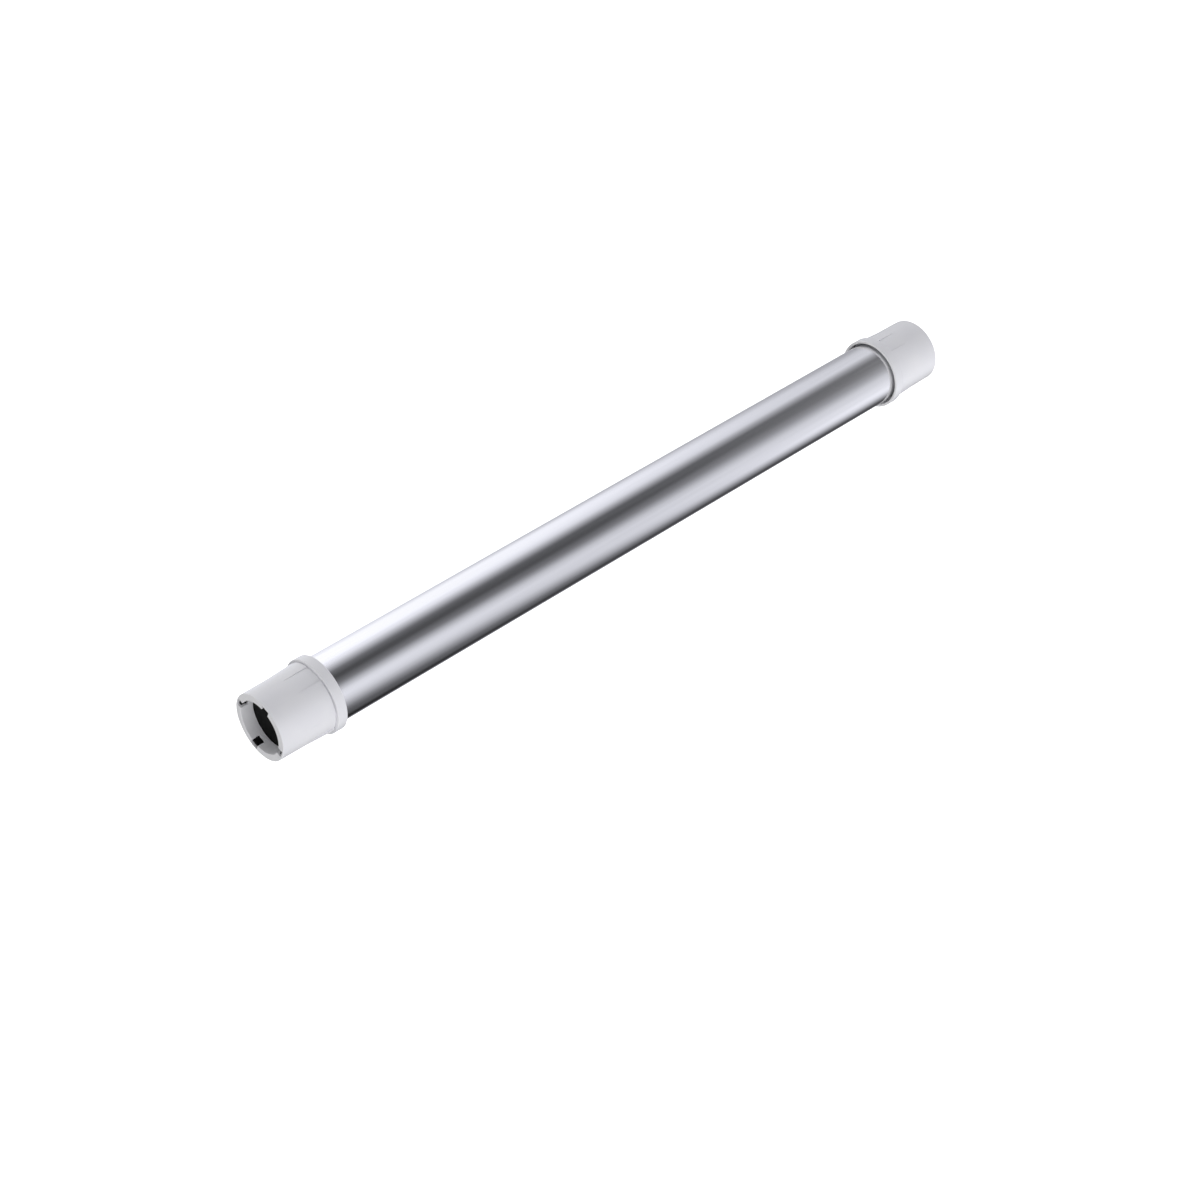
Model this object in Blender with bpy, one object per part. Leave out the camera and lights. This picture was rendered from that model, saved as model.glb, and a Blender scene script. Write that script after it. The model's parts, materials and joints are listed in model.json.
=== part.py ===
"""A roller blind's winding tube with its two end adapters.

The metal tube turns on a fixed shaft, which both end adapters hold. The axis of the tube is X, the origin is
the middle of the whole object, and +Z is up. Everything is in metres.

At each end, depth counts from the adapter's outer end face towards the middle, and radius from the axis.
"""

import math

import bmesh
import bpy

# Driving dimensions of the whole object
TOTAL_LENGTH = 0.510
TUBE_RADIUS = 0.019
TUBE_WALL = 0.0012
HALF_LENGTH = TOTAL_LENGTH / 2

# The gap between neighbours that only touch, the play between what turns and what stands still, and how far
# a cutter runs past the face that it opens
FIT_GAP = 0.0003
END_PLAY = 0.001
OVERRUN = 0.001

# Facets of round pieces
FINE_SEGMENTS = 64
COARSE_SEGMENTS = 32
PIN_SEGMENTS = 16
SMOOTH_ANGLE = math.radians(35)

# Adapter shell, a tapered body with a collar round the tube's end
BODY_LENGTH = 0.034
COLLAR_LENGTH = 0.006
BODY_END_RADIUS = 0.0196
BODY_BASE_RADIUS = 0.0199
COLLAR_RADIUS = 0.0218
COLLAR_BORE_RADIUS = 0.0201
COLLAR_FLOOR_DEPTH = 0.035
SHELL_BORE_RADIUS = 0.0182
MOUTH_RADIUS = 0.0155
LIP_DEPTH = 0.0077

# Four shallow wedges that thicken the body towards the collar
WEDGE_START_DEPTH = 0.017
WEDGE_RISE = 0.0006
WEDGE_ROOT = 0.0006
WEDGE_TOE = 0.00003
WEDGE_FIRST_ANGLE = math.radians(28)
WEDGE_SWEEP = math.radians(58)
WEDGE_SEGMENTS = 10

# Four windows in the mouth, which the core's hooks snap into
HOOK_COUNT = 4
HOOK_FIRST_ANGLE = math.radians(23.4)
WINDOW_WIDTH = 0.005
WINDOW_DEPTH = 0.0048
WINDOW_FLOOR_RADIUS = 0.0185
PASSAGE_INNER_RADIUS = 0.0165
PASSAGE_OUTER_RADIUS = 0.0178

# Core, a disc with hooks in front and a ribbed hub for the shaft behind
DISC_DEPTH = 0.008
DISC_THICKNESS = 0.0022
DISC_RADIUS = SHELL_BORE_RADIUS - FIT_GAP
HUB_END_DEPTH = 0.032
HUB_RADIUS = 0.009
RIB_THICKNESS = 0.002
RIB_SETBACK = 0.001
HOOK_WIDTH = WINDOW_WIDTH - 2 * FIT_GAP
HOOK_STEM_INNER = PASSAGE_INNER_RADIUS + FIT_GAP
HOOK_STEM_OUTER = PASSAGE_OUTER_RADIUS - FIT_GAP
HOOK_BARB_RADIUS = WINDOW_FLOOR_RADIUS - FIT_GAP
HOOK_FACE_RADIUS = 0.0166
HOOK_HEEL_RADIUS = 0.0161
HOOK_TIP_DEPTH = 0.0014
HOOK_RAMP_START = 0.0029
HOOK_RAMP_END = 0.0038
HOOK_CATCH_DEPTH = 0.0043

# Fixed shaft, with two flats at each end for the cores
SHAFT_RADIUS = 0.005
SHAFT_END_DEPTH = 0.012
SHAFT_FLAT_HALF = 0.004
CORE_PIN_RADIUS = 0.0015
CORE_PIN_DEPTH = 0.022
CORE_PIN_LENGTH = 0.016
SOCKET_FLOOR_DEPTH = SHAFT_END_DEPTH - END_PLAY / 2

# Thrust washer, bush and plug, from the hub towards the middle
WASHER_DEPTH = HUB_END_DEPTH + FIT_GAP
WASHER_THICKNESS = 0.001
WASHER_RADIUS = 0.0085
WAVE_THICKNESS = 0.0005
WAVE_COUNT = 3
BUSH_DEPTH = WASHER_DEPTH + WASHER_THICKNESS + FIT_GAP
BUSH_FLANGE_THICKNESS = 0.0015
BUSH_FLANGE_RADIUS = 0.010
BUSH_RADIUS = 0.008
BUSH_LENGTH = 0.0195
BUSH_BORE_RADIUS = SHAFT_RADIUS + FIT_GAP
PLUG_HUB_DEPTH = BUSH_DEPTH + BUSH_FLANGE_THICKNESS + FIT_GAP
PLUG_HUB_RADIUS = 0.011
PLUG_HUB_LENGTH = 0.0185
PLUG_WEB_DEPTH = 0.044
PLUG_WEB_THICKNESS = 0.003
PLUG_RIM_DEPTH = COLLAR_FLOOR_DEPTH + END_PLAY
PLUG_RIM_THICKNESS = 0.001
PLUG_RIM_RADIUS = 0.0188
PLUG_SLEEVE_END_DEPTH = 0.058
PLUG_SLEEVE_WALL = 0.0028

# Tube, with two keys along its bore that the plugs and the spring's carrier slide onto
TUBE_END_DEPTH = PLUG_RIM_DEPTH + PLUG_RIM_THICKNESS + FIT_GAP
TUBE_BORE_RADIUS = TUBE_RADIUS - TUBE_WALL
KEY_HEIGHT = 0.0015
KEY_HALF_WIDTH = 0.001
KEY_ANGLES = (0.0, math.pi)

# Spring and its fittings, placed along X
SPRING_START_X = -0.168
SPRING_PITCH = 0.0032
SPRING_TURNS = 30
SPRING_WIRE_RADIUS = 0.0006
SPRING_COIL_RADIUS = 0.011
SPRING_STEPS_PER_TURN = 12
SPRING_TAIL = 0.006
SPRING_LENGTH = SPRING_PITCH * SPRING_TURNS
SPRING_END_X = SPRING_START_X + SPRING_LENGTH
ANCHOR_CLEARANCE = 0.0012
ANCHOR_FLANGE_THICKNESS = 0.004
ANCHOR_FLANGE_RADIUS = 0.0135
ANCHOR_HUB_RADIUS = 0.0095
ANCHOR_HUB_LENGTH = 0.012
ANCHOR_PIN_RADIUS = 0.00125
ANCHOR_PIN_LENGTH = 0.017
TAIL_HOLE_RADIUS = SPRING_WIRE_RADIUS + FIT_GAP
CARRIER_LENGTH = 0.018
CARRIER_RADIUS = TUBE_BORE_RADIUS - FIT_GAP
GUIDE_RADIUS = 0.0075
GUIDE_END_GAP = 0.001
RING_GROOVE_DEPTH = 0.0006
RING_THICKNESS = 0.001
RING_RADIUS = 0.0075
RING_MOUTH = 0.004

# Each finish: linear red, green and blue, then roughness and metallic
FINISHES = {
    "white_plastic": ((0.78, 0.78, 0.82), 0.45, 0.0),
    "black_plastic": ((0.008, 0.008, 0.009), 0.6, 0.0),
    "grey_plastic": ((0.20, 0.21, 0.23), 0.5, 0.0),
    "natural_plastic": ((0.70, 0.68, 0.62), 0.4, 0.0),
    "aluminium": ((0.62, 0.64, 0.66), 0.22, 1.0),
    "bright_steel": ((0.36, 0.37, 0.38), 0.3, 1.0),
    "spring_steel": ((0.16, 0.16, 0.17), 0.35, 1.0),
}


def clear_scene():
    for obj in list(bpy.data.objects):
        bpy.data.objects.remove(obj, do_unlink=True)


def finished(obj, finish):
    """Gives an object a material of its own in one of the finishes."""
    colour, roughness, metallic = FINISHES[finish]
    material = bpy.data.materials.new(f"{obj.name}_{finish}")
    material.use_nodes = True
    shader = material.node_tree.nodes["Principled BSDF"]
    shader.inputs["Base Color"].default_value = (*colour, 1.0)
    shader.inputs["Roughness"].default_value = roughness
    shader.inputs["Metallic"].default_value = metallic
    obj.data.materials.append(material)
    return obj


def link(obj, parent=None, x=0.0):
    """Puts an object into the scene, with its origin on the axis at x."""
    bpy.context.scene.collection.objects.link(obj)
    obj.location.x = x
    obj.parent = parent
    return obj


def finish_mesh(name, bm):
    """Turns a bmesh into an object with outward faces, shaded smooth but for its corners."""
    bm.normal_update()
    bmesh.ops.recalc_face_normals(bm, faces=bm.faces)
    mesh = bpy.data.meshes.new(name)
    bm.to_mesh(mesh)
    bm.free()
    mesh.shade_smooth()
    mesh.set_sharp_from_angle(angle=SMOOTH_ANGLE)
    return bpy.data.objects.new(name, mesh)


def turned(name, outline, segments=FINE_SEGMENTS, start=0.0, sweep=math.tau):
    """Turns an outline of (x, radius) points about X. An outline that starts on the axis stays open there."""
    bm = bmesh.new()
    corners = [
        bm.verts.new((x, radius * math.cos(start), radius * math.sin(start)))
        for x, radius in outline
    ]
    edges = [bm.edges.new(pair) for pair in zip(corners, corners[1:])]
    if outline[0][1] > 0:
        edges.append(bm.edges.new((corners[-1], corners[0])))
    whole = sweep == math.tau
    if not whole:
        bm.faces.new(corners)
    bmesh.ops.spin(
        bm,
        geom=corners + edges + bm.faces[:],
        cent=(0, 0, 0),
        axis=(1, 0, 0),
        angle=sweep,
        steps=segments,
        use_merge=whole,
    )
    bmesh.ops.remove_doubles(bm, verts=bm.verts, dist=1e-6)
    return finish_mesh(name, bm)


def prisms(name, outline, width, angles):
    """One block for each angle about X: an outline of (x, radius) points, as thick as width."""
    bm = bmesh.new()
    for angle in angles:
        sides = []
        for across in (-width / 2, width / 2):
            sides.append(
                [
                    bm.verts.new(
                        (
                            x,
                            radius * math.cos(angle) - across * math.sin(angle),
                            radius * math.sin(angle) + across * math.cos(angle),
                        )
                    )
                    for x, radius in outline
                ]
            )
        first, second = sides
        bm.faces.new(first)
        bm.faces.new(reversed(second))
        for i, corner in enumerate(first):
            before = i - 1
            bm.faces.new((first[before], corner, second[i], second[before]))
    return finish_mesh(name, bm)


def rod(name, radius, length, angle=None, segments=COARSE_SEGMENTS):
    """A cylinder along X, or across X at an angle about it."""
    bm = bmesh.new()
    bmesh.ops.create_cone(
        bm,
        cap_ends=True,
        segments=segments,
        radius1=radius,
        radius2=radius,
        depth=length,
    )
    for vertex in bm.verts:
        x, y, z = vertex.co
        if angle is None:
            vertex.co = (z, x, y)
        else:
            vertex.co = (
                x,
                z * math.cos(angle) + y * math.sin(angle),
                z * math.sin(angle) - y * math.cos(angle),
            )
    return finish_mesh(name, bm)


def shape_with(target, helper, operation):
    """Joins a helper to the target, or cuts it away. The helper stays in the scene as a wire guide."""
    if helper.name not in bpy.context.scene.collection.objects:
        link(helper)
    helper.parent = target
    helper.hide_render = True
    helper.display_type = "WIRE"
    modifier = target.modifiers.new(helper.name, "BOOLEAN")
    modifier.operation = operation
    modifier.object = helper


def cross_hole(target, name, pin_radius, length, x, angle):
    """Cuts the hole for a pin that crosses X at an angle about it."""
    hole = rod(name, pin_radius + FIT_GAP, length, angle, PIN_SEGMENTS)
    link(hole, x=x)
    shape_with(target, hole, "DIFFERENCE")


def around(first, count=HOOK_COUNT):
    return [first + math.tau * i / count for i in range(count)]


def at_end(side, points):
    """Outline points given as (depth, radius) at an end, as (x, radius) from that end's face."""
    return [(-side * depth, radius) for depth, radius in points]


def body_radius(depth):
    return BODY_END_RADIUS + (BODY_BASE_RADIUS - BODY_END_RADIUS) * depth / BODY_LENGTH


def adapter_shell(name, side):
    collar_end = BODY_LENGTH + COLLAR_LENGTH
    shell = turned(
        name,
        at_end(
            side,
            [
                (0.0, MOUTH_RADIUS),
                (0.0, BODY_END_RADIUS),
                (BODY_LENGTH, BODY_BASE_RADIUS),
                (BODY_LENGTH, COLLAR_RADIUS),
                (collar_end, COLLAR_RADIUS),
                (collar_end, COLLAR_BORE_RADIUS),
                (COLLAR_FLOOR_DEPTH, COLLAR_BORE_RADIUS),
                (COLLAR_FLOOR_DEPTH, SHELL_BORE_RADIUS),
                (LIP_DEPTH, SHELL_BORE_RADIUS),
                (LIP_DEPTH, MOUTH_RADIUS),
            ],
        ),
    )
    wedge_end = (BODY_LENGTH + COLLAR_FLOOR_DEPTH) / 2
    wedge = at_end(
        side,
        [
            (WEDGE_START_DEPTH, body_radius(WEDGE_START_DEPTH) - WEDGE_ROOT),
            (WEDGE_START_DEPTH, body_radius(WEDGE_START_DEPTH) - WEDGE_TOE),
            (wedge_end, BODY_BASE_RADIUS + WEDGE_RISE),
            (wedge_end, BODY_BASE_RADIUS - WEDGE_ROOT),
        ],
    )
    for i, angle in enumerate(around(WEDGE_FIRST_ANGLE)):
        block = turned(f"{name}_wedge_{i}", wedge, WEDGE_SEGMENTS, angle, WEDGE_SWEEP)
        shape_with(shell, block, "UNION")
    past_lip = LIP_DEPTH + OVERRUN
    window = at_end(
        side,
        [
            (-OVERRUN, MOUTH_RADIUS - OVERRUN),
            (WINDOW_DEPTH, MOUTH_RADIUS - OVERRUN),
            (WINDOW_DEPTH, PASSAGE_INNER_RADIUS),
            (past_lip, PASSAGE_INNER_RADIUS),
            (past_lip, PASSAGE_OUTER_RADIUS),
            (WINDOW_DEPTH, PASSAGE_OUTER_RADIUS),
            (WINDOW_DEPTH, WINDOW_FLOOR_RADIUS),
            (-OVERRUN, WINDOW_FLOOR_RADIUS),
        ],
    )
    cutter = prisms(f"{name}_windows", window, WINDOW_WIDTH, around(HOOK_FIRST_ANGLE))
    shape_with(shell, cutter, "DIFFERENCE")
    return shell


def flatted_rod(name, radius, half_flat, length):
    """A rod along X with two parallel flats, above and below."""
    bm = bmesh.new()
    flat_angle = math.acos(half_flat / radius)
    sides = []
    for x in (-length / 2, length / 2):
        ring = []
        for middle in (0.0, math.pi):
            first = middle - math.pi / 2 + flat_angle
            step = (math.pi - 2 * flat_angle) / (COARSE_SEGMENTS // 2)
            for i in range(COARSE_SEGMENTS // 2 + 1):
                angle = first + step * i
                ring.append(bm.verts.new((x, radius * math.cos(angle), radius * math.sin(angle))))
        sides.append(ring)
    first, second = sides
    bm.faces.new(first)
    bm.faces.new(reversed(second))
    for i, corner in enumerate(first):
        bm.faces.new((first[i - 1], corner, second[i], second[i - 1]))
    return finish_mesh(name, bm)


def socket_core(name, side):
    core = turned(
        name,
        at_end(
            side,
            [
                (DISC_DEPTH, 0.0),
                (DISC_DEPTH, DISC_RADIUS),
                (DISC_DEPTH + DISC_THICKNESS, DISC_RADIUS),
                (DISC_DEPTH + DISC_THICKNESS, HUB_RADIUS),
                (HUB_END_DEPTH, HUB_RADIUS),
                (HUB_END_DEPTH, 0.0),
            ],
        ),
        COARSE_SEGMENTS,
    )
    inside_disc = DISC_DEPTH + DISC_THICKNESS / 2
    rib = [
        (inside_disc, HUB_RADIUS / 2),
        (inside_disc, DISC_RADIUS - FIT_GAP),
        (HUB_END_DEPTH - RIB_SETBACK, DISC_RADIUS - RIB_SETBACK),
        (HUB_END_DEPTH - RIB_SETBACK, HUB_RADIUS / 2),
    ]
    quarter_way = HOOK_FIRST_ANGLE + math.pi / HOOK_COUNT
    ribs = prisms(f"{name}_ribs", at_end(side, rib), RIB_THICKNESS, around(quarter_way))
    shape_with(core, ribs, "UNION")
    hook = [
        (inside_disc, HOOK_STEM_INNER),
        (HOOK_CATCH_DEPTH, HOOK_STEM_INNER),
        (HOOK_CATCH_DEPTH, HOOK_HEEL_RADIUS),
        (HOOK_RAMP_END, HOOK_HEEL_RADIUS),
        (HOOK_RAMP_START, HOOK_FACE_RADIUS),
        (HOOK_TIP_DEPTH, HOOK_FACE_RADIUS),
        (HOOK_TIP_DEPTH, HOOK_BARB_RADIUS),
        (HOOK_CATCH_DEPTH, HOOK_BARB_RADIUS),
        (HOOK_CATCH_DEPTH, HOOK_STEM_OUTER),
        (inside_disc, HOOK_STEM_OUTER),
    ]
    hooks = prisms(f"{name}_hooks", at_end(side, hook), HOOK_WIDTH, around(HOOK_FIRST_ANGLE))
    shape_with(core, hooks, "UNION")
    socket = flatted_rod(
        f"{name}_shaft_socket",
        SHAFT_RADIUS + FIT_GAP,
        SHAFT_FLAT_HALF + FIT_GAP,
        HUB_END_DEPTH + OVERRUN - SOCKET_FLOOR_DEPTH,
    )
    link(socket, x=-side * (HUB_END_DEPTH + OVERRUN + SOCKET_FLOOR_DEPTH) / 2)
    shape_with(core, socket, "DIFFERENCE")
    across_hub = 2 * (HUB_RADIUS + OVERRUN)
    pin_x = -side * CORE_PIN_DEPTH
    cross_hole(core, f"{name}_pin_hole", CORE_PIN_RADIUS, across_hub, pin_x, HOOK_FIRST_ANGLE)
    return core


def thrust_washer(name, side):
    back = WASHER_DEPTH + WASHER_THICKNESS
    outline = [
        (WASHER_DEPTH, BUSH_BORE_RADIUS),
        (WASHER_DEPTH, WASHER_RADIUS),
        (back, WASHER_RADIUS),
        (back, BUSH_BORE_RADIUS),
    ]
    return turned(name, at_end(side, outline), COARSE_SEGMENTS)


def wave_washer(name, side):
    """A thin washer bent into three waves, within the same room as a thrust washer."""
    middle = WASHER_DEPTH + WASHER_THICKNESS / 2
    swing = (WASHER_THICKNESS - WAVE_THICKNESS) / 2
    outline = [
        (middle - WAVE_THICKNESS / 2, BUSH_BORE_RADIUS),
        (middle - WAVE_THICKNESS / 2, WASHER_RADIUS),
        (middle + WAVE_THICKNESS / 2, WASHER_RADIUS),
        (middle + WAVE_THICKNESS / 2, BUSH_BORE_RADIUS),
    ]
    washer = turned(name, at_end(side, outline), FINE_SEGMENTS)
    for vertex in washer.data.vertices:
        angle = math.atan2(vertex.co.z, vertex.co.y)
        vertex.co.x += swing * math.sin(WAVE_COUNT * angle)
    return washer


def bearing_bush(name, side):
    flange_back = BUSH_DEPTH + BUSH_FLANGE_THICKNESS
    outline = [
        (BUSH_DEPTH, BUSH_BORE_RADIUS),
        (BUSH_DEPTH, BUSH_FLANGE_RADIUS),
        (flange_back, BUSH_FLANGE_RADIUS),
        (flange_back, BUSH_RADIUS),
        (BUSH_DEPTH + BUSH_LENGTH, BUSH_RADIUS),
        (BUSH_DEPTH + BUSH_LENGTH, BUSH_BORE_RADIUS),
    ]
    return turned(name, at_end(side, outline), COARSE_SEGMENTS)


def key_slots(name, from_x, to_x):
    """Blocks that clear the tube's keys, for cutting the pieces that slide along them."""
    floor = TUBE_BORE_RADIUS - KEY_HEIGHT - FIT_GAP
    outline = [
        (from_x, floor),
        (to_x, floor),
        (to_x, TUBE_RADIUS),
        (from_x, TUBE_RADIUS),
    ]
    return prisms(name, outline, 2 * (KEY_HALF_WIDTH + FIT_GAP), KEY_ANGLES)


def tube_plug(name, side):
    bore = BUSH_RADIUS + FIT_GAP
    sleeve = TUBE_BORE_RADIUS - FIT_GAP
    sleeve_bore = sleeve - PLUG_SLEEVE_WALL
    hub_end = PLUG_HUB_DEPTH + PLUG_HUB_LENGTH
    web_end = PLUG_WEB_DEPTH + PLUG_WEB_THICKNESS
    rim_end = PLUG_RIM_DEPTH + PLUG_RIM_THICKNESS
    outline = [
        (PLUG_HUB_DEPTH, bore),
        (PLUG_HUB_DEPTH, PLUG_HUB_RADIUS),
        (PLUG_WEB_DEPTH, PLUG_HUB_RADIUS),
        (PLUG_WEB_DEPTH, sleeve_bore),
        (PLUG_RIM_DEPTH, sleeve_bore),
        (PLUG_RIM_DEPTH, PLUG_RIM_RADIUS),
        (rim_end, PLUG_RIM_RADIUS),
        (rim_end, sleeve),
        (PLUG_SLEEVE_END_DEPTH, sleeve),
        (PLUG_SLEEVE_END_DEPTH, sleeve_bore),
        (web_end, sleeve_bore),
        (web_end, PLUG_HUB_RADIUS),
        (hub_end, PLUG_HUB_RADIUS),
        (hub_end, bore),
    ]
    plug = turned(name, at_end(side, outline), COARSE_SEGMENTS)
    past_sleeve = PLUG_SLEEVE_END_DEPTH + OVERRUN
    slots = key_slots(f"{name}_key_slots", -side * rim_end, -side * past_sleeve)
    shape_with(plug, slots, "DIFFERENCE")
    return plug


def section_ring(curve, radius, key_height=0.0):
    """Adds a round outline to a flat curve, with a key standing in from it at each key angle."""
    key_angle = math.asin(KEY_HALF_WIDTH / radius)
    points = []
    step = math.tau / FINE_SEGMENTS
    for i in range(FINE_SEGMENTS):
        angle = step * i
        on_key = any(math.isclose(angle, key, abs_tol=step / 2) for key in KEY_ANGLES)
        if not (key_height and on_key):
            points.append((radius * math.cos(angle), radius * math.sin(angle)))
            continue
        outward = math.cos(angle)
        for sign in (-1, 1):
            across = sign * outward * KEY_HALF_WIDTH
            at_wall = (outward * radius * math.cos(key_angle), across)
            at_top = (outward * (radius - key_height), across)
            points.extend((at_wall, at_top) if sign < 0 else (at_top, at_wall))
    spline = curve.splines.new("POLY")
    spline.points.add(len(points) - 1)
    for point, (across, up) in zip(spline.points, points):
        point.co = (across, up, 0.0, 1.0)
    spline.use_cyclic_u = True
    spline.use_smooth = True


def roller_tube(name):
    """The tube, as its section filled between wall and bore and extruded both ways along X."""
    curve = bpy.data.curves.new(name, "CURVE")
    curve.dimensions = "2D"
    curve.fill_mode = "BOTH"
    curve.extrude = HALF_LENGTH - TUBE_END_DEPTH
    section_ring(curve, TUBE_RADIUS)
    section_ring(curve, TUBE_BORE_RADIUS, KEY_HEIGHT)
    tube = bpy.data.objects.new(name, curve)
    tube.rotation_euler = (math.pi / 2, 0.0, math.pi / 2)
    return tube


def fixed_shaft(name, ring_x, anchor_pin_x):
    half = HALF_LENGTH - SHAFT_END_DEPTH
    groove_half = RING_THICKNESS / 2 + FIT_GAP
    groove_radius = SHAFT_RADIUS - RING_GROOVE_DEPTH
    shaft = turned(
        name,
        [
            (-half, 0.0),
            (-half, SHAFT_RADIUS),
            (ring_x - groove_half, SHAFT_RADIUS),
            (ring_x - groove_half, groove_radius),
            (ring_x + groove_half, groove_radius),
            (ring_x + groove_half, SHAFT_RADIUS),
            (half, SHAFT_RADIUS),
            (half, 0.0),
        ],
        COARSE_SEGMENTS,
    )
    across = 2 * (SHAFT_RADIUS + OVERRUN)
    flat_end = HALF_LENGTH - HUB_END_DEPTH
    for side in (-1, 1):
        flats = prisms(
            f"{name}_flats_{side}",
            [
                (side * flat_end, SHAFT_FLAT_HALF),
                (side * HALF_LENGTH, SHAFT_FLAT_HALF),
                (side * HALF_LENGTH, SHAFT_RADIUS + OVERRUN),
                (side * flat_end, SHAFT_RADIUS + OVERRUN),
            ],
            across,
            (math.pi / 2, -math.pi / 2),
        )
        shape_with(shaft, flats, "DIFFERENCE")
        hole_name = f"{name}_core_pin_hole_{side}"
        pin_x = side * (HALF_LENGTH - CORE_PIN_DEPTH)
        cross_hole(shaft, hole_name, CORE_PIN_RADIUS, across, pin_x, HOOK_FIRST_ANGLE)
    cross_hole(shaft, f"{name}_anchor_pin_hole", ANCHOR_PIN_RADIUS, across, anchor_pin_x, 0.0)
    return shaft


def spring_path():
    """The wire's middle line: a straight tail, the turns, and a straight tail at the other end."""
    steps = SPRING_TURNS * SPRING_STEPS_PER_TURN
    points = [(SPRING_START_X - SPRING_TAIL, SPRING_COIL_RADIUS, 0.0)]
    for i in range(steps + 1):
        angle = math.tau * i / SPRING_STEPS_PER_TURN
        points.append(
            (
                SPRING_START_X + SPRING_LENGTH * i / steps,
                SPRING_COIL_RADIUS * math.cos(angle),
                SPRING_COIL_RADIUS * math.sin(angle),
            )
        )
    points.append((SPRING_END_X + SPRING_TAIL, SPRING_COIL_RADIUS, 0.0))
    return points


def torsion_spring(name):
    curve = bpy.data.curves.new(name, "CURVE")
    curve.dimensions = "3D"
    curve.bevel_depth = SPRING_WIRE_RADIUS
    curve.bevel_resolution = 1
    curve.use_fill_caps = True
    path = spring_path()
    spline = curve.splines.new("POLY")
    spline.points.add(len(path) - 1)
    for point, place in zip(spline.points, path):
        point.co = (*place, 1.0)
    spline.use_smooth = True
    return bpy.data.objects.new(name, curve)


def tail_hole(name, x, length):
    """A cutter for the hole that takes one of the spring's tails."""
    hole = rod(name, TAIL_HOLE_RADIUS, length, None, PIN_SEGMENTS)
    link(hole, x=x)
    hole.location.y = SPRING_COIL_RADIUS
    return hole


def shaft_anchor(name, pin_offset):
    """A flange for the spring's fixed tail, on a hub pinned to the shaft. Its origin is the flange's face."""
    bore = SHAFT_RADIUS + FIT_GAP
    back = -ANCHOR_FLANGE_THICKNESS - ANCHOR_HUB_LENGTH
    anchor = turned(
        name,
        [
            (0.0, bore),
            (0.0, ANCHOR_FLANGE_RADIUS),
            (-ANCHOR_FLANGE_THICKNESS, ANCHOR_FLANGE_RADIUS),
            (-ANCHOR_FLANGE_THICKNESS, ANCHOR_HUB_RADIUS),
            (back, ANCHOR_HUB_RADIUS),
            (back, bore),
        ],
        COARSE_SEGMENTS,
    )
    hole = tail_hole(f"{name}_tail_hole", -ANCHOR_FLANGE_THICKNESS, ANCHOR_HUB_LENGTH)
    shape_with(anchor, hole, "DIFFERENCE")
    across = 2 * (ANCHOR_HUB_RADIUS + OVERRUN)
    cross_hole(anchor, f"{name}_pin_hole", ANCHOR_PIN_RADIUS, across, pin_offset, 0.0)
    return anchor


def tube_carrier(name):
    """The plug that takes the spring's moving tail and slides on the tube's keys. Its origin is its face."""
    bore = SHAFT_RADIUS + FIT_GAP
    carrier = turned(
        name,
        [
            (0.0, bore),
            (0.0, CARRIER_RADIUS),
            (CARRIER_LENGTH, CARRIER_RADIUS),
            (CARRIER_LENGTH, bore),
        ],
    )
    slots = key_slots(f"{name}_key_slots", -OVERRUN, CARRIER_LENGTH + OVERRUN)
    shape_with(carrier, slots, "DIFFERENCE")
    hole = tail_hole(f"{name}_tail_hole", 0.0, 2 * SPRING_TAIL)
    shape_with(carrier, hole, "DIFFERENCE")
    return carrier


def guide_sleeve(name):
    inner = SHAFT_RADIUS + FIT_GAP
    half = SPRING_LENGTH / 2 - GUIDE_END_GAP
    outline = [(-half, inner), (-half, GUIDE_RADIUS), (half, GUIDE_RADIUS), (half, inner)]
    return turned(name, outline, COARSE_SEGMENTS)


def retaining_ring(name):
    """An open ring that snaps into the shaft's groove."""
    inner = SHAFT_RADIUS - RING_GROOVE_DEPTH + FIT_GAP
    half = RING_THICKNESS / 2
    outline = [(-half, inner), (-half, RING_RADIUS), (half, RING_RADIUS), (half, inner)]
    mouth_angle = RING_MOUTH / RING_RADIUS
    return turned(name, outline, COARSE_SEGMENTS, mouth_angle / 2, math.tau - mouth_angle)


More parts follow.
